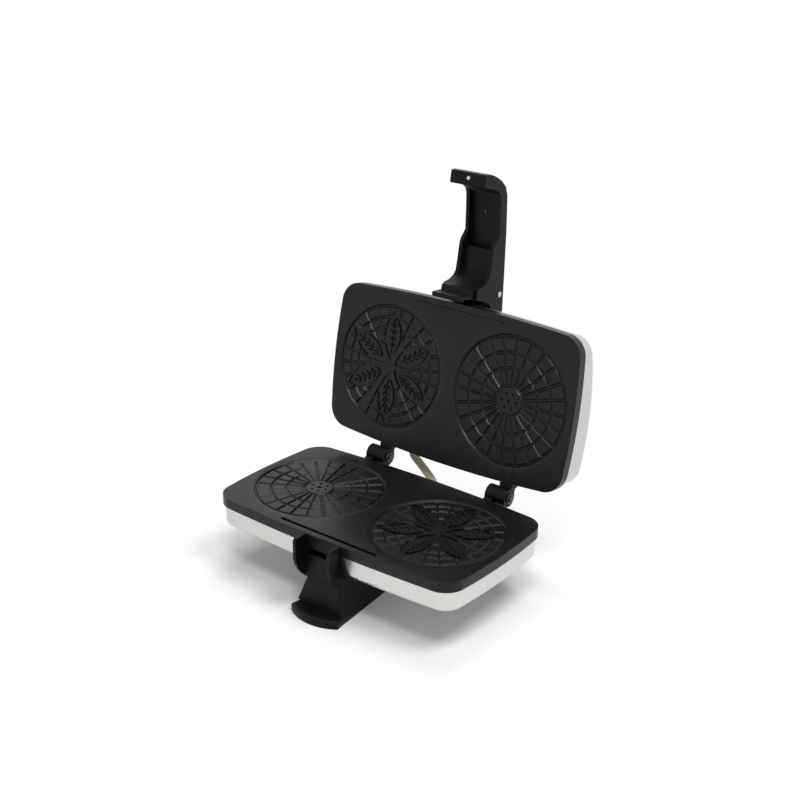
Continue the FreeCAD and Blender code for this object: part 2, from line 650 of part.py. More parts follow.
def keeper_flange(back):
    """Skirt of the keeper that lies against the front wall of the base and widens downwards."""
    top, low = -RIM_HEIGHT - FIT_GAP, SHELL_BOTTOM
    y = back - KEEPER_FLANGE
    outline = [V(-KEEPER_FLANGE_TOP, y, top), V(KEEPER_FLANGE_TOP, y, top), V(KEEPER_FLANGE_FOOT, y, low),
               V(-KEEPER_FLANGE_FOOT, y, low)]
    return Part.Face(Part.makePolygon(outline + outline[:1])).extrude(V(0, KEEPER_FLANGE + 1, 0))


def keeper_screws():
    """Two screws from inside the leg through its front wall into the keeper's panel."""
    z = SHELL_BOTTOM - KEEPER_SCREW_DROP
    lean = (LEG_TOP_Y - LEG_FACE_Y) / (TABLE_DROP - TOE_HEIGHT + SHELL_BOTTOM)
    seat = LEG_TOP_Y - lean * (KEEPER_SCREW_DROP - SCREW_HEAD_RADIUS) + LEG_WALL + SCREW_SEAT_GAP
    solids = []
    for x in (-KEEPER_SCREW_X, KEEPER_SCREW_X):
        shank = rod(SCREW_RADIUS, (x, seat + 1, z), (x, KEEPER_PANEL_Y + 0.6, z))
        head = rod(SCREW_HEAD_RADIUS, (x, seat + SCREW_HEAD_HEIGHT, z), (x, seat, z))
        solids.append(join([shank, head]))
    return Part.makeCompound(solids)


def loft(lower, upper, z0, z1):
    """Straight-sided solid between two four-sided outlines at two heights."""
    wires = []
    for outline, z in ((lower, z0), (upper, z1)):
        points = [V(x, y, z) for x, y in outline]
        wires.append(Part.makePolygon(points + points[:1]))
    return Part.makeLoft(wires, True, True)


def quad(front_half, front_y, rear_half, rear_y, centre=0.0):
    return [(centre - front_half, front_y), (centre + front_half, front_y),
            (centre + rear_half, rear_y), (centre - rear_half, rear_y)]


def leg_volume(wall):
    """The front leg above its toe, drawn in by a wall."""
    foot = quad(LEG_FACE_HALF_WIDTH - wall, LEG_FACE_Y + wall, LEG_REAR_HALF_WIDTH - wall, LEG_REAR_Y - wall)
    top = quad(LEG_TOP_HALF_WIDTH - wall, LEG_TOP_Y + wall, LEG_REAR_TOP_HALF_WIDTH - wall, LEG_REAR_Y - wall)
    return loft(foot, top, -TABLE_DROP + TOE_HEIGHT, SHELL_BOTTOM)


def front_leg():
    """Hollow front leg: a sloping face, a rounded toe and a flat sole that runs back under the plates."""
    sole, toe_top = -TABLE_DROP, -TABLE_DROP + TOE_HEIGHT
    shoulder = V(TOE_HALF_WIDTH, TOE_SHOULDER_Y, sole)
    far = V(-TOE_HALF_WIDTH, TOE_SHOULDER_Y, sole)
    tip = Part.Arc(far, V(0, TOE_FRONT_Y, sole), shoulder).toShape()
    back = [shoulder, V(LEG_FACE_HALF_WIDTH, LEG_FACE_Y, sole), V(LEG_REAR_HALF_WIDTH, LEG_REAR_Y, sole),
            V(-LEG_REAR_HALF_WIDTH, LEG_REAR_Y, sole), V(-LEG_FACE_HALF_WIDTH, LEG_FACE_Y, sole), far]
    toe = Part.Face(Part.Wire([tip] + Part.makePolygon(back).Edges)).extrude(V(0, 0, TOE_HEIGHT))
    lip = [edge for edge in toe.Edges if abs(edge.CenterOfMass.z - toe_top) < 1e-6
           and edge.CenterOfMass.y < LEG_FACE_Y]
    return join([leg_volume(0).cut(leg_volume(LEG_WALL)), toe.makeFillet(TOE_HEIGHT * 0.45, lip)])


def rear_leg(x):
    """Hollow rear leg that slants back so that the open lid can't tip the iron over."""
    low = -TABLE_DROP + PAD_HEIGHT * 0.6
    w, wall = REAR_LEG_HALF_WIDTH, REAR_LEG_WALL
    body = loft(quad(w, REAR_LEG_FOOT_Y[0], w, REAR_LEG_FOOT_Y[1], x),
                quad(w, REAR_LEG_TOP_Y[0], w, REAR_LEG_TOP_Y[1], x), low, SHELL_BOTTOM)
    hollow = loft(quad(w - wall, REAR_LEG_FOOT_Y[0] + wall, w - wall, REAR_LEG_FOOT_Y[1] - wall, x),
                  quad(w - wall, REAR_LEG_TOP_Y[0] + wall, w - wall, REAR_LEG_TOP_Y[1] - wall, x),
                  low, SHELL_BOTTOM)
    floor = box(x - 2 * w, x + 2 * w, 0, 2 * REAR_LEG_FOOT_Y[1], low - 1, low + PAD_HEIGHT + wall)
    hollow = hollow.cut(floor)
    pocket = rod(PAD_RADIUS + FIT_GAP, pad_spot(x, low - 1), pad_spot(x, low + PAD_HEIGHT * 0.4))
    return body.cut([hollow, pocket])


def pad_spot(x, z):
    return (x, sum(REAR_LEG_FOOT_Y) / 2, z)


def foot_pads():
    top = -TABLE_DROP + PAD_HEIGHT
    return Part.makeCompound([rod(PAD_RADIUS, pad_spot(x, -TABLE_DROP), pad_spot(x, top))
                              for x in REAR_LEGS.values()])


def leg_screws(spots):
    """Short screws through the shell floor into the rims of the legs, heads inside the shell."""
    solids = []
    for x, y in spots:
        solids.append(screw_down(x, y, SHELL_FLOOR, SHELL_WALL + 6))
    return Part.makeCompound(solids)


def screw_down(x, y, z_head, length):
    """Pan-head screw driven downwards; its head seats on a face at z_head."""
    return flipped(screw_up(x, y, -z_head, length))


def lever_outline():
    """Side view of the lever's cheeks, from the pin end round to the hook and back along the front."""
    return [(-66.7, 31.5), (-66.7, 48.3), (-105.0, 42.8), (-145.0, 36.8), (-177.8, 30.3), (-185.4, 25.8),
            (-190.4, 18.6), (-193.4, 11.0), (-195.4, 4.0), (-196.3, -2.0), (-195.5, -7.5), (-184.0, -7.5),
            (-183.6, 0.0), (-182.8, 8.0), (-181.2, 14.5), (-178.5, 18.6), (-174.0, 21.0), (-156.0, 24.2),
            (-141.0, 26.6), (-137.5, 24.6), (-134.0, 21.8), (-130.0, 20.2), (-124.0, 19.7), (-112.0, 19.7),
            (-102.0, 19.0), (-98.0, 16.2), (-94.6, 11.0), (-92.2, 2.0),
            (-82.4, 2.0), (-78.6, 22.0), (-74.0, 27.5)]


def lever():
    """Latch lever: cheeks, cover seat, hook, scoop panel, and a foot with the latch tooth."""
    w, inner = LEVER_HALF_WIDTH, LEVER_HALF_WIDTH - LEVER_CHEEK
    body = prism_x(lever_outline(), -w, w)
    seat = [(-60.0, 54.0), (-60.0, 44.0), (-97.0, 40.0), (-105.0, 42.8 - LEVER_COVER),
            (-145.0, 36.8 - LEVER_COVER), (-172.0, 31.4 - LEVER_COVER), (-172.0, 45.0)]
    front = [(-178.0, 25.4), (-145.0, 31.5), (-126.0, 34.0), (-126.0, 10.0), (-178.0, 18.0)]
    scoop = [(-126.1, 25.0), (-104.0, 25.5), (-99.0, 20.0), (-92.2, -4.0), (-140.0, -4.0)]
    eye_room = [(-50.0, 60.0), (-50.0, 14.0), (-84.0, 14.0), (-95.0, 28.0), (-97.0, 40.0), (-97.0, 60.0)]
    spaces = [prism_x(outline, -inner, inner) for outline in (seat, front, scoop, eye_room)]
    foot = [(-92.2, 6.0), (-92.0, -3.5), (-90.0, -4.4), (-86.6, -4.8), (-85.6, -18.4), (-82.2, -18.4),
            (-81.2, -16.9), (-81.6, -15.3), (-83.4, -14.9), (-83.2, 6.0)]
    half = LEVER_FOOT_HALF_WIDTH
    solid = join([body.cut(spaces), prism_x(foot, -half, half)])
    pin_hole = rod(LATCH_PIN_RADIUS, (-w - 1, LEVER_PIN_Y, LEVER_PIN_Z), (w + 1, LEVER_PIN_Y, LEVER_PIN_Z))
    return solid.cut([pin_hole] + [cover_screw_hole(y) for y in COVER_SCREW_SPOTS])


def lever_back_z(y):
    """Height of the lever's back line."""
    return 42.8 + (y + 105.0) * (36.8 - 42.8) / (-145.0 + 105.0)


def cover_screw_hole(y):
    z = lever_back_z(y)
    return rod(COVER_SCREW_RADIUS, (0, y, z - 9), (0, y, z))


def lever_cover():
    """Back strip that closes the lever's channel."""
    clear = LEVER_HALF_WIDTH - LEVER_CHEEK - FIT_GAP
    strip = [(-98.0, 40.8), (-105.0, 42.8 - LEVER_COVER), (-145.0, 36.8 - LEVER_COVER),
             (-171.8, 31.44 - LEVER_COVER), (-171.8, 31.5), (-145.0, 36.8), (-105.0, 42.8), (-98.0, 43.8)]
    holes = [rod(COVER_SCREW_RADIUS + 0.2, (0, y, 20), (0, y, 60)) for y in COVER_SCREW_SPOTS]
    return prism_x(strip, -clear, clear).cut(holes)


def bracket(crown):
    """Plate on the lid's crown with an eye that carries the lever's pin between the cheeks."""
    w, top = BRACKET_HALF_WIDTH, BRACKET_SEAT_Z
    y, z = LEVER_PIN_Y, LEVER_PIN_Z
    arm = [(BRACKET_REAR_Y, top - 8), (BRACKET_REAR_Y, top + BRACKET_PLATE), (-64.0, top + BRACKET_PLATE),
           (-82.0, z + 6.0), (-86.0, z + 6.3), (-91.0, z + 2.4), (-91.4, z - 2.6), (-84.0, 28.0),
           (-75.8, 22.0), (-75.8, 13.0)]
    eye = rod(BRACKET_EYE_RADIUS, (-w, y, z), (w, y, z))
    bore = rod(LATCH_PIN_RADIUS + PIN_CLEARANCE, (-w - 1, y, z), (w + 1, y, z))
    return join([prism_x(arm, -w, w), eye]).cut([bore, crown])


def bracket_screws():
    """Two screws down through the bracket's plate into the crown of the lid."""
    top = BRACKET_SEAT_Z + BRACKET_PLATE
    y = BRACKET_REAR_Y - BRACKET_SCREW_INSET
    length = BRACKET_PLATE + BRACKET_SCREW_BITE
    return Part.makeCompound([screw_down(x, y, top, length) for x in (-BRACKET_SCREW_X, BRACKET_SCREW_X)])


def latch_pin():
    w = LEVER_HALF_WIDTH
    y, z = LEVER_PIN_Y, LEVER_PIN_Z
    shank = rod(LATCH_PIN_RADIUS, (-w - LATCH_PIN_HEAD, y, z), (w + LATCH_PIN_HEAD, y, z))
    heads = [rod(LATCH_PIN_HEAD_RADIUS, (side * w, y, z), (side * (w + LATCH_PIN_HEAD), y, z))
             for side in (-1, 1)]
    return join([shank] + heads)


def cover_screws():
    solids = []
    for y in COVER_SCREW_SPOTS:
        z = lever_back_z(y)
        seat = z + COVER_SCREW_LIFT
        shank = rod(COVER_SCREW_RADIUS, (0, y, z - 7), (0, y, seat + COVER_SCREW_HEAD_HEIGHT))
        head = rod(COVER_SCREW_HEAD, (0, y, seat), (0, y, seat + COVER_SCREW_HEAD_HEIGHT))
        solids.append(join([shank, head]))
    return Part.makeCompound(solids)


def lead_points():
    """Route of the braided lead with the lid open, from the base's rear wall round to the lid's."""
    base_wall = rear_wall_y(LEAD_BASE_X)
    hole = open_spot(LEAD_LID_X, rear_wall_y(LEAD_LID_X), LEAD_Z)
    outside = open_spot(LEAD_LID_X, rear_wall_y(LEAD_LID_X) + 9.0, LEAD_Z)
    return [(LEAD_BASE_X, base_wall - SHELL_WALL, -LEAD_Z), (LEAD_BASE_X, base_wall + 12.0, -LEAD_Z),
            (LEAD_BASE_X - 5.0, base_wall + 25.0, -LEAD_Z + 1.0),
            (LEAD_BASE_X - 18.0, base_wall + 31.0, -LEAD_Z + 6.0),
            (outside.x + 7.0, outside.y + 0.6, outside.z - 6.0), tuple(outside), tuple(hole)]


def open_spot(x, y, z):
    """Where a point of the shut lid lies once the lid is open, in the base's drawing."""
    spot = Part.Vertex(x, y, z)
    return swung(spot).Point - V(0, 0, TABLE_DROP)


def on_table(shape):
    """Move a base piece from its drawing onto the table frame."""
    moved = shape.copy()
    moved.translate(V(0, 0, TABLE_DROP))
    return moved


def swung(shape):
    """Move a lid piece from its drawing to the open lid on the table frame."""
    moved = shape.copy()
    moved.translate(V(0, 0, TABLE_DROP + PLATE_GAP))
    moved.rotate(V(0, HINGE_Y, TABLE_DROP + HINGE_RISE), V(1, 0, 0), -LID_OPEN_ANGLE)
    return moved


def bosses(spots):
    """Screw bosses inside the top of a hollow leg."""
    return [rod(LEG_BOSS_RADIUS, (x, y, SHELL_BOTTOM), (x, y, SHELL_BOTTOM - LEG_BOSS_HEIGHT))
            for x, y in spots]


def base_shell(pan, holes):
    """Pressed sheet pan with clearance holes for the plate screws and the bushes."""
    sheet = pan.cut(pan_volume(SHELL_WALL))
    hole = SCREW_RADIUS + SCREW_CLEARANCE
    holes = holes + [rod(hole, (x, y, SHELL_BOTTOM - 1), (x, y, SHELL_FLOOR + 1)) for x, y in BOSS_SPOTS]
    return sheet.cut(holes + [bush_hole(LEAD_BASE_X, -LEAD_Z), bush_hole(GLAND_X, -LEAD_Z)])


def base_pieces(grid, flower):
    """Pieces that stand on the table."""
    pan = pan_volume(0)
    near = KNUCKLE_GAP / 2
    far = near + BASE_KNUCKLE
    lugs = {side: lug(x - far, x - near, HINGE_RISE, 0, pan) for side, x in HINGES.items()}
    lug_screws = Part.makeCompound([lug_screw(x - (near + far) / 2) for x in HINGES.values()])
    front_inset, rear_inset = LEG_WALL + LEG_BOSS_INSET, REAR_LEG_WALL + LEG_BOSS_INSET
    front_spots = [(0.0, LEG_REAR_Y - front_inset), (0.0, LEG_TOP_Y + front_inset)]
    rear_rows = (REAR_LEG_TOP_Y[0] + rear_inset, REAR_LEG_TOP_Y[1] - rear_inset)
    rear_spots = {side: [(x, y) for y in rear_rows] for side, x in REAR_LEGS.items()}
    front_screws = leg_screws(front_spots)
    rear_screws = leg_screws(rear_spots["left"] + rear_spots["right"])
    rear = {side: join([rear_leg(x)] + bosses(rear_spots[side])).cut(rear_screws)
            for side, x in REAR_LEGS.items()}
    panel_screws = keeper_screws()
    return {
        "base_shell": base_shell(pan, [lug_screws, front_screws, rear_screws, tooth_slot()]),
        "lower_plate": lower_plate(grid, flower),
        "lower_heater": heater(),
        "lower_heater_clamps": clamps(),
        "lower_heat_shield": heat_shield(),
        "lower_plate_spacers": spacers(),
        "lower_plate_screws": plate_screws(),
        "base_wiring": base_wires(),
        "thermostat": thermostat(),
        "thermal_fuse": thermal_fuse(),
        "terminal_block": terminal_block(),
        "mains_inlet_bush": lead_bush(GLAND_X, -LEAD_Z),
        "base_lead_bush": lead_bush(LEAD_BASE_X, -LEAD_Z),
        "latch_keeper": keeper(pan, leg_volume(0)).cut(panel_screws),
        "keeper_screws": panel_screws,
        "front_leg": join([front_leg()] + bosses(front_spots)).cut([front_screws, panel_screws]),
        "front_leg_screws": front_screws,
        "rear_leg_left": rear["left"],
        "rear_leg_right": rear["right"],
        "rear_leg_screws": rear_screws,
        "foot_pads": foot_pads(),
        "base_hinge_lug_left": lugs["left"].cut(lug_screws),
        "base_hinge_lug_right": lugs["right"].cut(lug_screws),
        "base_lug_screws": lug_screws,
        "hinge_pin_left": hinge_pin(HINGES["left"]),
        "hinge_pin_right": hinge_pin(HINGES["right"]),
        "hinge_pin_clips": Part.makeCompound([hinge_clip(x) for x in HINGES.values()]),
        "interconnect_lead": cord(lead_points(), LEAD_RADIUS, "interconnect lead"),
    }


def lid_pieces(grid, flower):
    """Pieces that swing with the lid, drawn upside down where they repeat the base's."""
    crown, inside = crown_volume(0), crown_volume(SHELL_WALL)
    axis_z = PLATE_GAP - HINGE_RISE
    near = KNUCKLE_GAP / 2
    far = near + LID_KNUCKLE
    lugs = {side: lug(x + near, x + far, axis_z, PIN_CLEARANCE, crown) for side, x in HINGES.items()}
    lug_screws = Part.makeCompound([lug_screw(x + (near + far) / 2) for x in HINGES.values()])
    eye_screws = bracket_screws()
    sheet = crown.cut([inside, bush_hole(LEAD_LID_X, -LEAD_Z), lug_screws])
    return {
        "lid_shell": flipped(sheet).cut(eye_screws),
        "upper_plate": upper_plate(grid, flower),
        "upper_heater": flipped(heater()),
        "upper_heater_clamps": flipped(clamps()),
        "upper_heat_shield": flipped(heat_shield()),
        "upper_plate_posts": flipped(plate_posts(inside)),
        "lid_wiring": flipped(lid_wires()),
        "lid_lead_bush": flipped(lead_bush(LEAD_LID_X, -LEAD_Z)),
        "lid_hinge_lug_left": flipped(lugs["left"].cut(lug_screws)),
        "lid_hinge_lug_right": flipped(lugs["right"].cut(lug_screws)),
        "lid_lug_screws": flipped(lug_screws),
        "latch_bracket": bracket(flipped(crown)).cut(eye_screws),
        "latch_bracket_screws": eye_screws,
        "latch_pin": latch_pin(),
        "latch_lever": lever(),
        "lever_back_cover": lever_cover(),
        "lever_cover_screws": cover_screws(),
    }


def export_all():
    """Write each piece at its place, with the lid open."""
    os.makedirs("parts", exist_ok=True)
    grid, flower = grid_cutters(), flower_cutters()
    pieces = {name: on_table(shape) for name, shape in base_pieces(grid, flower).items()}
    pieces.update({name: swung(shape) for name, shape in lid_pieces(grid, flower).items()})
    for name, shape in pieces.items():
        shape.exportStep("parts/" + name + ".step")
        print(name, "solids", len(shape.Solids), "valid", shape.isValid(), "volume", round(shape.Volume))


export_all()
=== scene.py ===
"""Dressing, light and camera for the thin-wafer iron. Metres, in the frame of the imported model."""
import json
import math

import bmesh
import bpy
import numpy as np
from mathutils import Euler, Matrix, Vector


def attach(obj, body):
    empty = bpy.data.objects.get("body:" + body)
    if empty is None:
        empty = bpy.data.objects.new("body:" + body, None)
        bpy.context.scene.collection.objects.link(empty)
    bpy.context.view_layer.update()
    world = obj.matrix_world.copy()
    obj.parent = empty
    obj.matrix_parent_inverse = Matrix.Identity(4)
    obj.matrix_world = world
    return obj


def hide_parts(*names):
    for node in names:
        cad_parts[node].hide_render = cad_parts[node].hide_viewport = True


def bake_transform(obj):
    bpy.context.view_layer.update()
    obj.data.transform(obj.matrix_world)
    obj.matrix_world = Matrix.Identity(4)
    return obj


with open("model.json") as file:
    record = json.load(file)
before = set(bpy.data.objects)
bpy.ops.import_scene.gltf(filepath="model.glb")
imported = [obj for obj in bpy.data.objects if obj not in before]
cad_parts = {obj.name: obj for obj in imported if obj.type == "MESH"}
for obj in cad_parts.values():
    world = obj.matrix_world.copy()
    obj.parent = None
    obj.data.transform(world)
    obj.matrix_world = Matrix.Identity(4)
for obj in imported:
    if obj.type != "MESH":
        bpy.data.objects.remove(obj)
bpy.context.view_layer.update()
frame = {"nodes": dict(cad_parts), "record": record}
scene = bpy.context.scene

# Camera fitted to the photograph's frame
CAMERA_PLACE = (0.6608, -0.8266, 0.6160)
CAMERA_TURN = (67.590, -0.755, 37.911)
CAMERA_LENS = 59.295
CAMERA_SENSOR = 36.0

# Braided lead, the control points of its solid's route
LEAD_ROUTE = ((-0.004, 0.07409, 0.0565), (-0.004, 0.08729, 0.0565), (-0.009, 0.10029, 0.0575),
              (-0.022, 0.10629, 0.0625), (-0.035, 0.10739, 0.07211), (-0.042, 0.10679, 0.07811),
              (-0.042, 0.10826, 0.08699))
LEAD_RADIUS = 0.0040
LEAD_STEP = 0.00035
LEAD_SMOOTHNESS = 24
LEAD_SIDES = 64
BRAID_STRANDS = 8
BRAID_PITCH = 0.021
BRAID_DEPTH = 0.0004
BRAID_DIP = 0.55
# Yarn colour runs from a painted shade in the troughs between strands to a painted light on the crests
YARN_TROUGH_PAINTED_SHADE = (0.34, 0.29, 0.18)
YARN_CREST_PAINTED_LIGHT = (0.92, 0.84, 0.63)
YARN_GRAIN = 5200.0
YARN_BUMP = (0.4, 0.0001)
YARN_ROUGHNESS = 0.75
YARN_SHEEN = 0.25

# Small screw in the end face of the lever's hook; the profile is (radius, rise) in millimetres
HOOK_SCREW_PLACE = (0.0, 0.12640, 0.35275)
HOOK_SCREW_AXIS = (0.0, -0.9866, 0.1633)
HOOK_SCREW_PROFILE = ((0.75, 0.1), (0.85, 0.6), (1.3, 0.55), (1.7, 0.3), (1.9, -0.3))
HOOK_SCREW_SIDES = 32
MILLIMETRE = 0.001

# Floor: its middle, its half width, the distances over which it fades to white, its colour and its glow
FLOOR_CENTRE = (0.04, -0.06, -0.0003)
FLOOR_REACH = 6.0
FLOOR_FADE = (0.20, 0.34)
FLOOR_PALE = (0.86, 0.86, 0.86, 1)
FLOOR_GLOW = 0.07

# Strength of the surroundings as a light
SOFT_LIGHT = 0.26
WHITE = (1, 1, 1, 1)

# Lamps: name, place, aim, width and watts
LAMPS = (("front", (0.60, -0.80, 1.75), (0, 0, 0.08), 0.50, 13.0),
         ("right", (0.80, -0.06, 1.48), (0, 0.1, 0.2), 0.50, 12.0),
         ("overhead", (-0.20, 0.55, 1.7), (0, 0, 0.1), 0.8, 12.0))

# Edge rounding of the rigid nodes, by material slot
EDGE_ROUND = {"nonstick_plate": 0.0008, "black_plastic": 0.0009, "silver_shell": 0.0004,
              "zinc_fastener": 0.0002, "black_oxide": 0.0003, "bush_plastic": 0.0004,
              "foot_rubber": 0.0006}
EDGE_SEGMENTS = 2
EDGE_ANGLE = math.radians(35)
WELD_REACH = 0.00001

# Nodes of flat faces that stay crisp, with no rounding
FLAT_NODES = ("lever_back_cover",)
CREASE_ANGLE = math.radians(1.5)

# Finish of each material slot: colours between which it is mottled, low and high roughness, scale of its
# grain, and strength and depth in metres of its bump; mottle is a scale too, and stretch draws out the grain
FINISHES = {
    "silver_shell": dict(dark=(0.575, 0.570, 0.555), light=(0.605, 0.600, 0.585), rough=(0.25, 0.38),
                         grain=1100.0, bump=(0.05, 0.0002), metallic=1.0, mottle=9.0,
                         stretch=(0.04, 1.0, 1.0)),
    "nonstick_plate": dict(dark=(0.0025, 0.0027, 0.0028), light=(0.0048, 0.0050, 0.0051),
                           rough=(0.28, 0.38), grain=1500.0, bump=(0.06, 0.0002), specular=0.25),
    "black_plastic": dict(dark=(0.0022, 0.0022, 0.0021), light=(0.0045, 0.0045, 0.0043),
                          rough=(0.34, 0.48), grain=2200.0, bump=(0.20, 0.0002), specular=0.13),
    "black_oxide": dict(dark=(0.012, 0.012, 0.012), light=(0.024, 0.024, 0.024), rough=(0.30, 0.46),
                        grain=1700.0, bump=(0.08, 0.0001)),
    "zinc_fastener": dict(dark=(0.50, 0.49, 0.46), light=(0.62, 0.61, 0.58), rough=(0.24, 0.42),
                          grain=1800.0, bump=(0.08, 0.0001), metallic=1.0),
    "heater_sheath": dict(dark=(0.16, 0.14, 0.12), light=(0.30, 0.25, 0.21), rough=(0.40, 0.60),
                          grain=700.0, bump=(0.10, 0.0002), metallic=1.0),
    "inner_sheet": dict(dark=(0.55, 0.55, 0.55), light=(0.65, 0.65, 0.65), rough=(0.30, 0.48),
                        grain=600.0, bump=(0.08, 0.0002), metallic=1.0, mottle=15.0,
                        stretch=(0.1, 1.0, 1.0)),
    "wire_insulation": dict(dark=(0.62, 0.60, 0.54), light=(0.74, 0.72, 0.66), rough=(0.45, 0.60),
                            grain=1600.0, bump=(0.10, 0.0001)),
    "control_body": dict(dark=(0.62, 0.57, 0.48), light=(0.76, 0.71, 0.62), rough=(0.40, 0.60),
                         grain=1400.0, bump=(0.15, 0.0001)),
    "bush_plastic": dict(dark=(0.010, 0.010, 0.010), light=(0.016, 0.016, 0.016), rough=(0.40, 0.55),
                         grain=2000.0, bump=(0.15, 0.0001)),
    "foot_rubber": dict(dark=(0.016, 0.016, 0.016), light=(0.026, 0.026, 0.026), rough=(0.65, 0.85),
                        grain=1200.0, bump=(0.25, 0.0002)),
}
GRAIN_DETAIL = 6.0
NOISE_MIDDLE = (0.3, 0.7)


def new_material(name):
    """Empty node material with its shader; returns the material, its nodes, its links and the shader."""
    mat = bpy.data.materials.new(name)
    mat.use_nodes = True
    nodes, links = mat.node_tree.nodes, mat.node_tree.links
    return mat, nodes, links, nodes["Principled BSDF"]


def noise(nodes, links, scale, detail=4.0, stretch=None):
    """Noise in object space, with its grain drawn out along the axes of a small scale."""
    coords = nodes.new("ShaderNodeTexCoord")
    texture = nodes.new("ShaderNodeTexNoise")
    texture.inputs["Scale"].default_value = scale
    texture.inputs["Detail"].default_value = detail
    if stretch is None:
        links.new(coords.outputs["Object"], texture.inputs["Vector"])
        return texture.outputs["Fac"]
    mapping = nodes.new("ShaderNodeMapping")
    mapping.inputs["Scale"].default_value = stretch
    links.new(coords.outputs["Object"], mapping.inputs["Vector"])
    links.new(mapping.outputs["Vector"], texture.inputs["Vector"])
    return texture.outputs["Fac"]


def colour_range(nodes, links, factor, dark, light, low=0.35, high=0.65):
    """Colour that runs from dark to light over the middle of a noise."""
    ramp = nodes.new("ShaderNodeValToRGB")
    ramp.color_ramp.elements[0].position = low
    ramp.color_ramp.elements[1].position = high
    ramp.color_ramp.elements[0].color = (*dark, 1)
    ramp.color_ramp.elements[1].color = (*light, 1)
    links.new(factor, ramp.inputs["Fac"])
    return ramp.outputs["Color"]


def value_range(nodes, links, factor, low, high):
    """Value that runs from low to high over the middle of a noise."""
    spread = nodes.new("ShaderNodeMapRange")
    spread.inputs["From Min"].default_value = NOISE_MIDDLE[0]
    spread.inputs["From Max"].default_value = NOISE_MIDDLE[1]
    spread.inputs["To Min"].default_value = low
    spread.inputs["To Max"].default_value = high
    links.new(factor, spread.inputs["Value"])
    return spread.outputs["Result"]


def add_bump(nodes, links, shader, factor, strength, depth):
    """Relief of the given depth on the shader's normal."""
    bump = nodes.new("ShaderNodeBump")
    bump.inputs["Strength"].default_value = strength
    bump.inputs["Distance"].default_value = depth
    links.new(factor, bump.inputs["Height"])
    links.new(bump.outputs["Normal"], shader.inputs["Normal"])


def surface(name, dark, light, rough, grain, bump, metallic=0.0, mottle=35.0, stretch=None,
            specular=0.5):
    """Material with mottled colour, uneven gloss and a fine grain, as FINISHES gives them."""
    mat, nodes, links, shader = new_material(name)
    broad = noise(nodes, links, mottle)
    fine = noise(nodes, links, grain, GRAIN_DETAIL, stretch)
    links.new(colour_range(nodes, links, broad, dark, light), shader.inputs["Base Color"])
    links.new(value_range(nodes, links, fine, *rough), shader.inputs["Roughness"])
    add_bump(nodes, links, shader, fine, *bump)
    shader.inputs["Metallic"].default_value = metallic
    shader.inputs["Specular IOR Level"].default_value = specular
    return mat


def braid_material():
    """Glass-fibre yarn: the colour follows the height that the braid's mesh carries as an attribute, darker
    in the troughs between strands as painted shade and lighter on the crests as painted light.
    """
    mat, nodes, links, shader = new_material("braided_sleeve")
    height = nodes.new("ShaderNodeAttribute")
    height.attribute_name = "braid"
    colour = colour_range(nodes, links, height.outputs["Fac"], YARN_TROUGH_PAINTED_SHADE, YARN_CREST_PAINTED_LIGHT, 0.0, 0.9)
    links.new(colour, shader.inputs["Base Color"])
    add_bump(nodes, links, shader, noise(nodes, links, YARN_GRAIN), *YARN_BUMP)
    shader.inputs["Roughness"].default_value = YARN_ROUGHNESS
    shader.inputs["Sheen Weight"].default_value = YARN_SHEEN
    return mat


def make_materials():
    """One material per slot of the record."""
    made = {slot: surface(slot, **finish) for slot, finish in FINISHES.items()}
    made["braided_sleeve"] = braid_material()
    return made


def dress_nodes(materials):
    """Give every CAD node its slot's material, and softened edges where the slot has a rounding."""
    slots = {part["node"]: part["material_slot"] for part in frame["record"]["subparts"]}
    for name, node in frame["nodes"].items():
        slot = slots[name]
        node.data.materials.clear()
        node.data.materials.append(materials[slot])
        if slot in EDGE_ROUND:
            soften(node, EDGE_ROUND[slot])


def soften(node, width):
    """Weld a node's mesh and round its edges, or keep the creases of a flat one."""
    weld = node.modifiers.new("weld", "WELD")
    weld.merge_threshold = WELD_REACH
    if node.name in FLAT_NODES:
        split = node.modifiers.new("creases", "EDGE_SPLIT")
        split.split_angle = CREASE_ANGLE
        return
    bevel = node.modifiers.new("edges", "BEVEL")
    bevel.width = width
    bevel.segments = EDGE_SEGMENTS
    bevel.limit_method = "ANGLE"
    bevel.angle_limit = EDGE_ANGLE
    bevel.harden_normals = False
    node.modifiers.new("normals", "WEIGHTED_NORMAL")


def smooth_route():
    """Points of the lead's smooth line, evenly spaced, and their distances along it."""
    curve = bpy.data.curves.new("lead_route", "CURVE")
    curve.dimensions = "3D"
    curve.resolution_u = LEAD_SMOOTHNESS
    spline = curve.splines.new("NURBS")
    spline.points.add(len(LEAD_ROUTE) - 1)
    for point, place in zip(spline.points, LEAD_ROUTE):
        point.co = (*place, 1)
    spline.order_u = 3
    spline.use_endpoint_u = True
    guide = bpy.data.objects.new("lead_route", curve)
    scene.collection.objects.link(guide)
    bpy.context.view_layer.update()
    depsgraph = bpy.context.evaluated_depsgraph_get()
    line = bpy.data.meshes.new_from_object(guide.evaluated_get(depsgraph))
    points = np.array([v.co for v in line.vertices])
    bpy.data.meshes.remove(line)
    bpy.data.objects.remove(guide)
    run = np.concatenate([[0], np.cumsum(np.linalg.norm(np.diff(points, axis=0), axis=1))])
    at = np.linspace(0, run[-1], int(run[-1] / LEAD_STEP) + 1)
    return np.column_stack([np.interp(at, run, points[:, i]) for i in range(3)]), at


def braid_height(turn, run):
    """Height of the braid, 0 to 1, at an angle round the lead and a distance along it."""
    twist = 2 * math.pi * run / BRAID_PITCH
    right = np.cos(BRAID_STRANDS * (turn + twist) / 2) ** 2
    left = np.cos(BRAID_STRANDS * (turn - twist) / 2) ** 2
    over = 0.5 + 0.5 * np.cos(BRAID_STRANDS * turn) * np.cos(BRAID_STRANDS * twist)
    return np.maximum(right * (1 - BRAID_DIP * (1 - over)), left * (1 - BRAID_DIP * over))


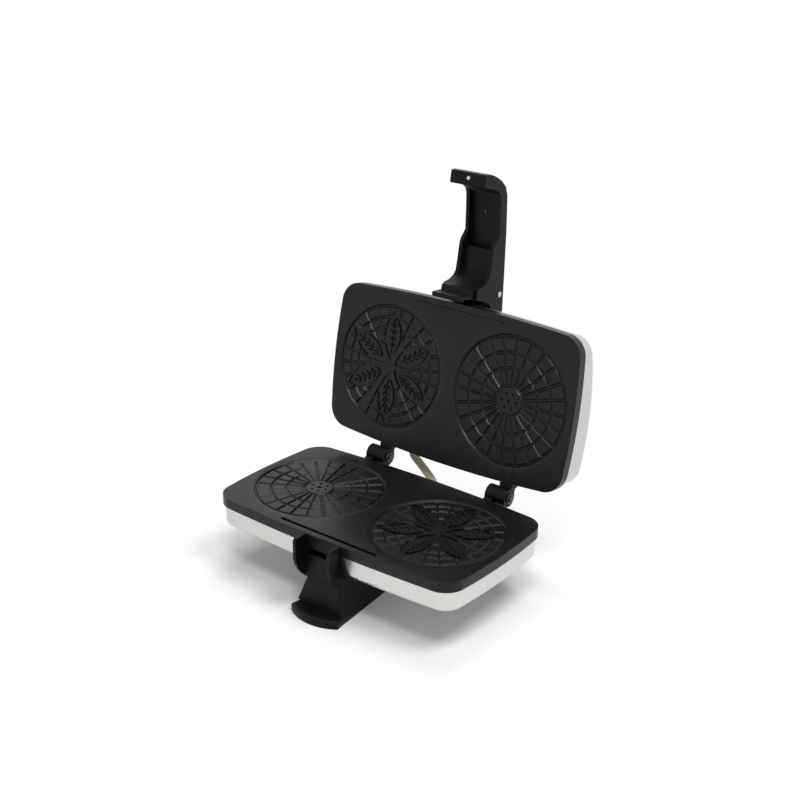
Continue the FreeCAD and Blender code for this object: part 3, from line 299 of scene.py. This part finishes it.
def braided_lead(material):
    """Mesh tube with the strands of its braid, from the base's bush to the lid's."""
    points, at = smooth_route()
    mesh = bmesh.new()
    layer = mesh.verts.layers.float.new("braid")
    side = Vector((1, 0, 0))
    turns = np.linspace(0, 2 * math.pi, LEAD_SIDES, endpoint=False)
    rings = []
    for i, place in enumerate(points):
        ahead, behind = points[min(i + 1, len(points) - 1)], points[max(i - 1, 0)]
        along = Vector(ahead - behind).normalized()
        side = (side - along * side.dot(along)).normalized()
        up = along.cross(side)
        heights = braid_height(turns, at[i])
        ring = []
        for turn, height in zip(turns, heights):
            radius = LEAD_RADIUS - BRAID_DEPTH * (1 - height)
            vert = mesh.verts.new(Vector(place) + (side * math.cos(turn) + up * math.sin(turn)) * radius)
            vert[layer] = height
            ring.append(vert)
        rings.append(ring)
    for one, two in zip(rings, rings[1:]):
        for j in range(LEAD_SIDES):
            k = (j + 1) % LEAD_SIDES
            mesh.faces.new((one[j], one[k], two[k], two[j])).smooth = True
    mesh.faces.new(list(reversed(rings[0])))
    mesh.faces.new(rings[-1])
    lead = finished_mesh("braided_lead", mesh, material)
    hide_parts("interconnect_lead")
    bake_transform(lead)


def hook_screw(material):
    """Socket-head screw seated in the end of the lever's hook."""
    mesh = bmesh.new()
    axis = Vector(HOOK_SCREW_AXIS)
    across = Vector((1, 0, 0))
    up = axis.cross(across)
    rings = []
    for radius, rise in HOOK_SCREW_PROFILE:
        ring = []
        for i in range(HOOK_SCREW_SIDES):
            turn = 2 * math.pi * i / HOOK_SCREW_SIDES
            spot = (across * math.cos(turn) + up * math.sin(turn)) * radius + axis * rise
            ring.append(mesh.verts.new(Vector(HOOK_SCREW_PLACE) + spot * MILLIMETRE))
        rings.append(ring)
    for one, two in zip(rings, rings[1:]):
        for i in range(HOOK_SCREW_SIDES):
            j = (i + 1) % HOOK_SCREW_SIDES
            mesh.faces.new((one[i], one[j], two[j], two[i]))
    mesh.faces.new(rings[0])
    mesh.faces.new(rings[-1])
    bmesh.ops.recalc_face_normals(mesh, faces=mesh.faces)
    screw = finished_mesh("hook_screw", mesh, material)
    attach(screw, "latch")


def finished_mesh(name, mesh, material):
    """Object in the scene from a finished bmesh."""
    data = bpy.data.meshes.new(name)
    mesh.to_mesh(data)
    mesh.free()
    data.materials.append(material)
    piece = bpy.data.objects.new(name, data)
    scene.collection.objects.link(piece)
    return piece


def add_floor():
    """Pale floor that keeps the shadow near the object and fades to the backdrop's white further off."""
    mesh = bmesh.new()
    bmesh.ops.create_grid(mesh, x_segments=1, y_segments=1, size=FLOOR_REACH)
    mat, nodes, links, shader = new_material("floor")
    shader.inputs["Base Color"].default_value = FLOOR_PALE
    shader.inputs["Roughness"].default_value = 0.9
    shader.inputs["Specular IOR Level"].default_value = 0.1
    shader.inputs["Emission Color"].default_value = WHITE
    shader.inputs["Emission Strength"].default_value = FLOOR_GLOW
    coords = nodes.new("ShaderNodeTexCoord")
    distance = nodes.new("ShaderNodeVectorMath")
    distance.operation = "LENGTH"
    links.new(coords.outputs["Object"], distance.inputs[0])
    fade = nodes.new("ShaderNodeMapRange")
    fade.interpolation_type = "SMOOTHSTEP"
    fade.inputs["From Min"].default_value = FLOOR_FADE[0]
    fade.inputs["From Max"].default_value = FLOOR_FADE[1]
    links.new(distance.outputs["Value"], fade.inputs["Value"])
    white = nodes.new("ShaderNodeEmission")
    white.inputs["Strength"].default_value = 1.0
    mix = nodes.new("ShaderNodeMixShader")
    links.new(fade.outputs["Result"], mix.inputs[0])
    links.new(shader.outputs[0], mix.inputs[1])
    links.new(white.outputs[0], mix.inputs[2])
    links.new(mix.outputs[0], nodes["Material Output"].inputs["Surface"])
    floor = finished_mesh("floor", mesh, mat)
    floor.location = FLOOR_CENTRE


def add_world():
    """White for the camera and for reflections, softer as a light."""
    world = bpy.data.worlds.new("studio")
    scene.world = world
    world.use_nodes = True
    nodes, links = world.node_tree.nodes, world.node_tree.links
    path = nodes.new("ShaderNodeLightPath")
    seen = path.outputs["Is Camera Ray"]
    for ray in ("Is Glossy Ray", "Is Transmission Ray"):
        either = nodes.new("ShaderNodeMath")
        either.operation = "MAXIMUM"
        links.new(seen, either.inputs[0])
        links.new(path.outputs[ray], either.inputs[1])
        seen = either.outputs[0]
    soft, white = nodes["Background"], nodes.new("ShaderNodeBackground")
    soft.inputs["Color"].default_value = WHITE
    soft.inputs["Strength"].default_value = SOFT_LIGHT
    white.inputs["Color"].default_value = WHITE
    white.inputs["Strength"].default_value = 1.0
    mix = nodes.new("ShaderNodeMixShader")
    links.new(seen, mix.inputs[0])
    links.new(soft.outputs[0], mix.inputs[1])
    links.new(white.outputs[0], mix.inputs[2])
    links.new(mix.outputs[0], nodes["World Output"].inputs["Surface"])


def add_light(name, place, aim, size, watts):
    """Square lamp that points at a spot."""
    lamp = bpy.data.lights.new(name, "AREA")
    lamp.shape = "SQUARE"
    lamp.size = size
    lamp.energy = watts
    light = bpy.data.objects.new(name, lamp)
    light.location = place
    light.rotation_euler = (Vector(aim) - Vector(place)).to_track_quat("-Z", "Y").to_euler()
    scene.collection.objects.link(light)


def add_camera():
    """Camera of the photograph's view."""
    data = bpy.data.cameras.new("camera")
    data.lens = CAMERA_LENS
    data.sensor_width = CAMERA_SENSOR
    data.sensor_fit = "HORIZONTAL"
    camera = bpy.data.objects.new("camera", data)
    camera.location = CAMERA_PLACE
    camera.rotation_euler = Euler([math.radians(a) for a in CAMERA_TURN], "XYZ")
    scene.collection.objects.link(camera)
    scene.camera = camera


materials = make_materials()
add_camera()
braided_lead(materials["braided_sleeve"])
dress_nodes(materials)
hook_screw(materials["zinc_fastener"])
add_floor()
add_world()
for lamp in LAMPS:
    add_light(*lamp)
scene.view_settings.view_transform = "Standard"
